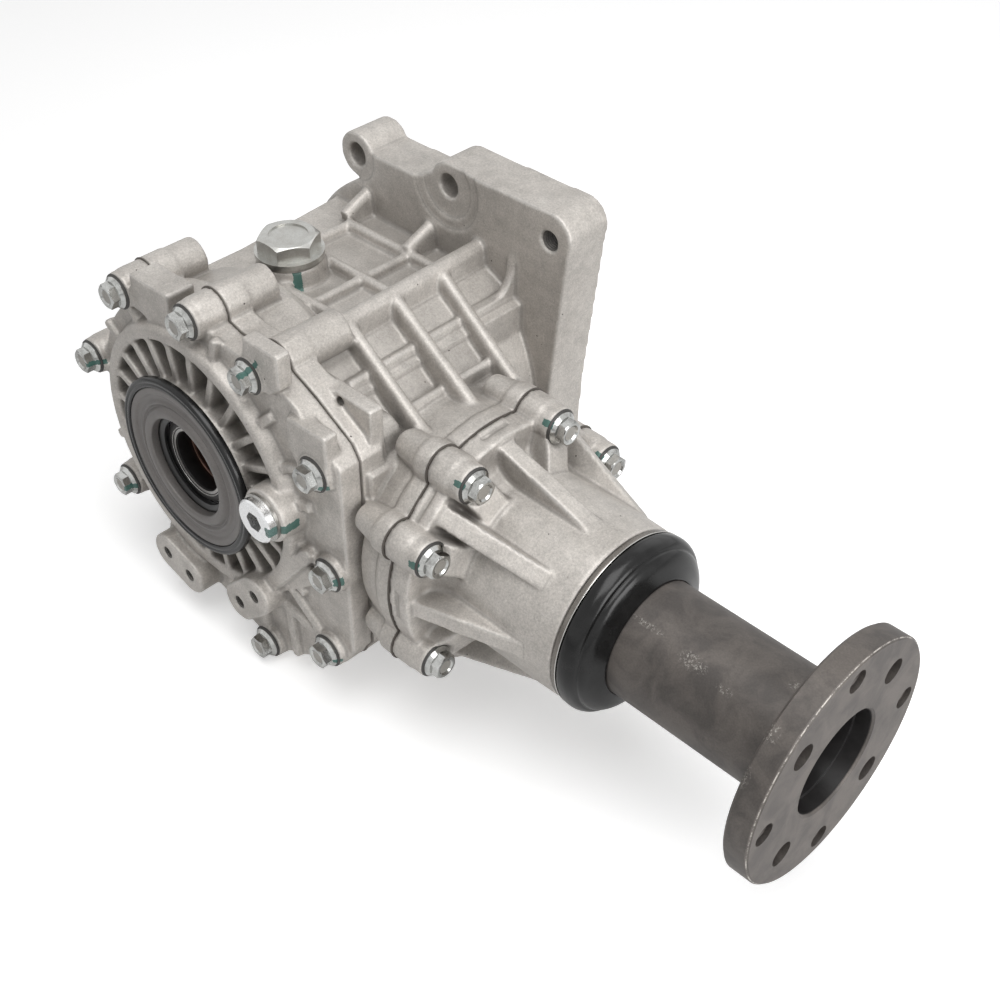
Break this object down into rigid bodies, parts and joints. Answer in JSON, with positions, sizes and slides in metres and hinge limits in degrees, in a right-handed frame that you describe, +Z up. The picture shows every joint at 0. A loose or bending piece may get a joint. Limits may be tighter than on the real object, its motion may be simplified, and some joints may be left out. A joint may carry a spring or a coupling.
{
  "type": "transfer case",
  "caption": "Right-angle transfer case: a ribbed cast housing bolts to a transaxle and a bevel gear pair turns a tubular output shaft with a round flange.",
  "frame": {"origin": "on the cross axis in the mounting face that meets the transaxle", "axes": "+X along the output axis toward its flange, +Y along the cross axis toward the transaxle, +Z up"},
  "size_m": [0.4468, 0.2276, 0.2387],
  "materials": {
    "main_housing": "sand-cast, blasted, machined joint faces",
    "side_cover": "die-cast, blasted, machined seats",
    "cover_sealant": "cured black sealant bead",
    "cover_bolts": "bright zinc plate with green paint marks",
    "cover_dowels": "ground",
    "pinion_housing": "sand-cast, blasted, machined end",
    "pinion_sealant": "cured black sealant bead",
    "pinion_bolts": "bright zinc plate with green paint marks",
    "fill_plug": "bright zinc plate",
    "fill_washer": "plain",
    "level_plug": "turned, bright",
    "level_washer": "plain",
    "dust_disc": "satin dark grey",
    "dust_disc_rim": "black rubber",
    "cover_seal": "black rubber",
    "mount_seal": "black rubber",
    "spigot_ring": "black rubber",
    "output_seal": "black rubber",
    "cover_bearing_cup": "ground bearing steel",
    "mount_bearing_cup": "ground bearing steel",
    "head_bearing_cup": "ground bearing steel",
    "tail_bearing_cup": "ground bearing steel",
    "cross_shaft": "forged and machined",
    "ring_gear": "phosphated gear steel",
    "ring_gear_bolts": "black",
    "cover_bearing_cone": "ground bearing steel",
    "mount_bearing_cone": "ground bearing steel",
    "shaft_bush": "sintered bronze",
    "pinion": "phosphated gear steel",
    "head_bearing_cone": "ground bearing steel",
    "crush_sleeve": "plain",
    "tail_bearing_cone": "ground bearing steel",
    "output_flange": "phosphated, scratched edges",
    "neck_deflector": "gloss black",
    "pinion_washer": "plain",
    "pinion_nut": "plain",
    "cover_rollers": "ground bearing steel",
    "mount_rollers": "ground bearing steel",
    "head_rollers": "ground bearing steel",
    "tail_rollers": "ground bearing steel"
  },
  "bodies": {
    "housing": {"main_housing": "main_housing", "side_cover": "side_cover", "cover_sealant": "cover_sealant", "cover_bolts": "cover_bolts", "cover_dowels": "cover_dowels", "pinion_housing": "pinion_housing", "pinion_sealant": "pinion_sealant", "pinion_bolts": "pinion_bolts", "fill_plug": "fill_plug", "fill_washer": "fill_washer", "level_plug": "level_plug", "level_washer": "level_washer", "dust_disc": "dust_disc", "dust_disc_rim": "dust_disc_rim", "cover_seal": "cover_seal", "mount_seal": "mount_seal", "spigot_ring": "spigot_ring", "output_seal": "output_seal", "cover_bearing_cup": "cover_bearing_cup", "mount_bearing_cup": "mount_bearing_cup", "head_bearing_cup": "head_bearing_cup", "tail_bearing_cup": "tail_bearing_cup"},
    "input_shaft": {"cross_shaft": "cross_shaft", "ring_gear": "ring_gear", "ring_gear_bolts": "ring_gear_bolts", "cover_bearing_cone": "cover_bearing_cone", "mount_bearing_cone": "mount_bearing_cone", "shaft_bush": "shaft_bush"},
    "output_shaft": {"pinion": "pinion", "head_bearing_cone": "head_bearing_cone", "crush_sleeve": "crush_sleeve", "tail_bearing_cone": "tail_bearing_cone", "output_flange": "output_flange", "neck_deflector": "neck_deflector", "pinion_washer": "pinion_washer", "pinion_nut": "pinion_nut"},
    "cover_roller_set": {"cover_rollers": "cover_rollers"},
    "mount_roller_set": {"mount_rollers": "mount_rollers"},
    "head_roller_set": {"head_rollers": "head_rollers"},
    "tail_roller_set": {"tail_rollers": "tail_rollers"}
  },
  "joints": [
    {"name": "input_spin", "type": "hinge", "parent": "housing", "child": "input_shaft", "pos_m": [0, -0.1085, 0], "axis": [0, 1, 0], "continuous": true},
    {"name": "output_spin", "type": "hinge", "parent": "housing", "child": "output_shaft", "pos_m": [0, -0.1085, -0.01], "axis": [1, 0, 0], "continuous": true},
    {"name": "cover_rollers_spin", "type": "hinge", "parent": "housing", "child": "cover_roller_set", "pos_m": [0, -0.1085, 0], "axis": [0, 1, 0], "continuous": true},
    {"name": "mount_rollers_spin", "type": "hinge", "parent": "housing", "child": "mount_roller_set", "pos_m": [0, -0.1085, 0], "axis": [0, 1, 0], "continuous": true},
    {"name": "head_rollers_spin", "type": "hinge", "parent": "housing", "child": "head_roller_set", "pos_m": [0, -0.1085, -0.01], "axis": [1, 0, 0], "continuous": true},
    {"name": "tail_rollers_spin", "type": "hinge", "parent": "housing", "child": "tail_roller_set", "pos_m": [0, -0.1085, -0.01], "axis": [1, 0, 0], "continuous": true}
  ],
  "couplings": [
    {"joint": "output_spin", "follows": "input_spin", "ratio": 2.5833},
    {"joint": "cover_rollers_spin", "follows": "input_spin", "ratio": 0.45},
    {"joint": "mount_rollers_spin", "follows": "input_spin", "ratio": 0.45},
    {"joint": "head_rollers_spin", "follows": "input_spin", "ratio": 1.1376},
    {"joint": "tail_rollers_spin", "follows": "input_spin", "ratio": 1.1263}
  ]
}
